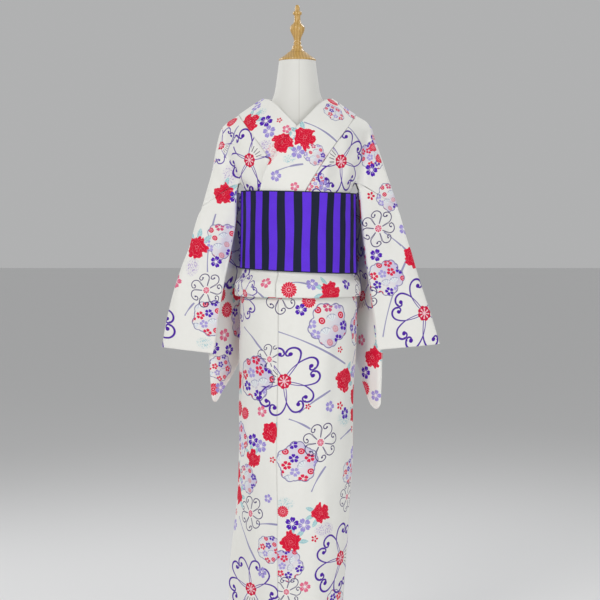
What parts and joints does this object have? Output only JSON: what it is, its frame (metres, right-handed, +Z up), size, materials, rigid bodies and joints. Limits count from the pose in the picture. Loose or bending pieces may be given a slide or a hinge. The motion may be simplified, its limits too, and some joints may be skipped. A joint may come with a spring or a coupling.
{
  "type": "wrapped robe with a wide belt on a limbless dress form",
  "caption": "Cotton kimono with a flower print and hanging sleeves, wrapped left over right under a striped belt, worn by a limbless dress form on a round stand.",
  "frame": {"origin": "middle of the stand's round foot, on its underside", "axes": "+Z up along the pole, -Y towards the front of the robe, +X towards the wearer's left"},
  "size_m": [0.6275, 0.33, 1.5713],
  "materials": {
    "cotton": "matt, plain weave, printed",
    "belt": "striped weave with a soft sheen",
    "form_cover": "smooth white cover",
    "wood": "pale gold varnish",
    "steel": "satin",
    "foot_paint": "satin white"
  },
  "bodies": {
    "root": {"right_body_strip": "cotton", "left_body_strip": "cotton", "left_okumi_fold": "cotton", "right_okumi": "cotton", "right_front_skirt": "cotton", "right_back_skirt": "cotton", "left_back_skirt": "cotton", "left_front_skirt": "cotton", "left_okumi": "cotton", "collar": "cotton", "right_sleeve": "cotton", "left_sleeve": "cotton", "belt": "belt", "form_body": "form_cover", "form_neck_cap": "wood", "form_finial": "wood", "form_pole": "steel", "form_foot": "foot_paint"}
  },
  "joints": []
}
